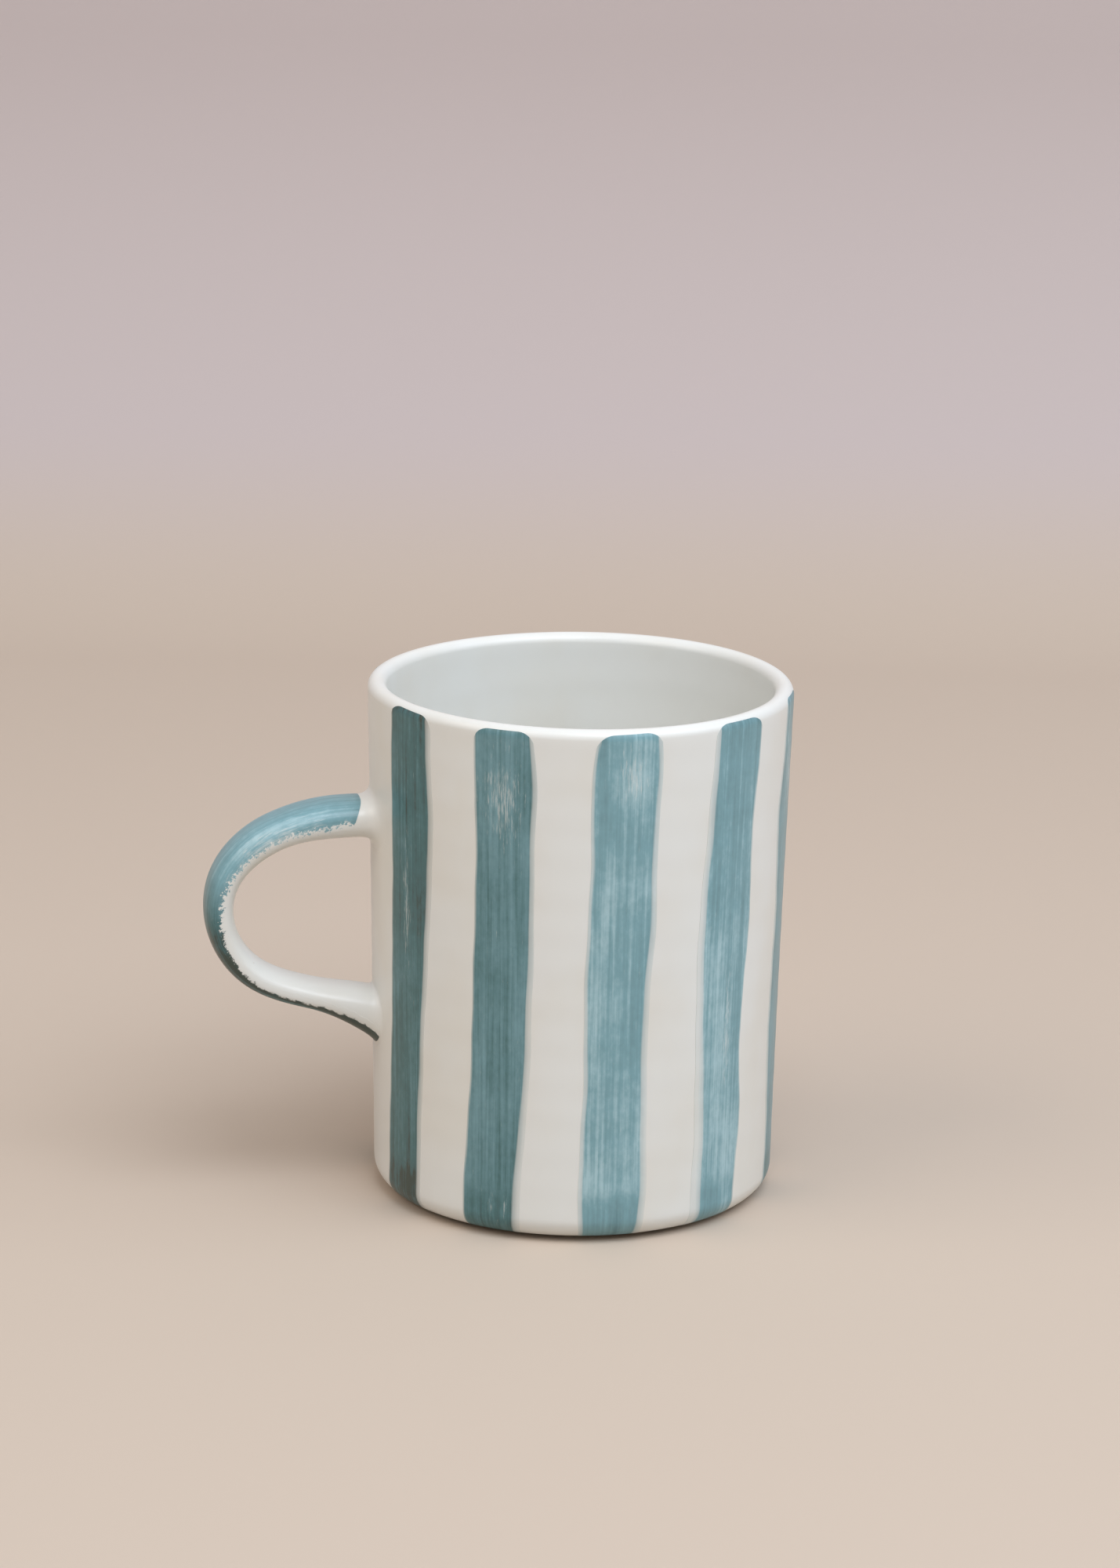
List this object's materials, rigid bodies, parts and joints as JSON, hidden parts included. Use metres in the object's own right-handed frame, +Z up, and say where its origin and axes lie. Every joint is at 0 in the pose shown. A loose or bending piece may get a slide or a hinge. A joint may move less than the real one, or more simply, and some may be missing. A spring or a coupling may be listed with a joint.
{
  "type": "ceramic mug",
  "caption": "Hand-painted glazed stoneware mug with a strap handle and upright blue bands on an off-white ground.",
  "frame": {"origin": "centre of the foot ring, on the plane that the mug stands on", "axes": "+Z up along the cup's axis and out of its mouth, -X towards the handle, +Y across the handle"},
  "size_m": [0.1128, 0.081, 0.1],
  "materials": {
    "stoneware_clay": "bare fired clay, matte",
    "cream_glaze": "clear glaze over off-white clay, satin gloss",
    "blue_colour_under_glaze": "brushed grey-blue slip under clear glaze, satin gloss"
  },
  "bodies": {
    "root": {"cup_body": "stoneware_clay", "handle": "stoneware_clay", "upper_slip_joint": "stoneware_clay", "lower_slip_joint": "stoneware_clay", "outer_glaze": "cream_glaze", "inner_glaze": "cream_glaze", "handle_glaze": "cream_glaze", "wall_band_01": "blue_colour_under_glaze", "wall_band_02": "blue_colour_under_glaze", "wall_band_03": "blue_colour_under_glaze", "wall_band_04": "blue_colour_under_glaze", "wall_band_05": "blue_colour_under_glaze", "wall_band_06": "blue_colour_under_glaze", "wall_band_07": "blue_colour_under_glaze", "wall_band_08": "blue_colour_under_glaze", "wall_band_09": "blue_colour_under_glaze", "wall_band_10": "blue_colour_under_glaze", "handle_band": "blue_colour_under_glaze"}
  },
  "joints": []
}
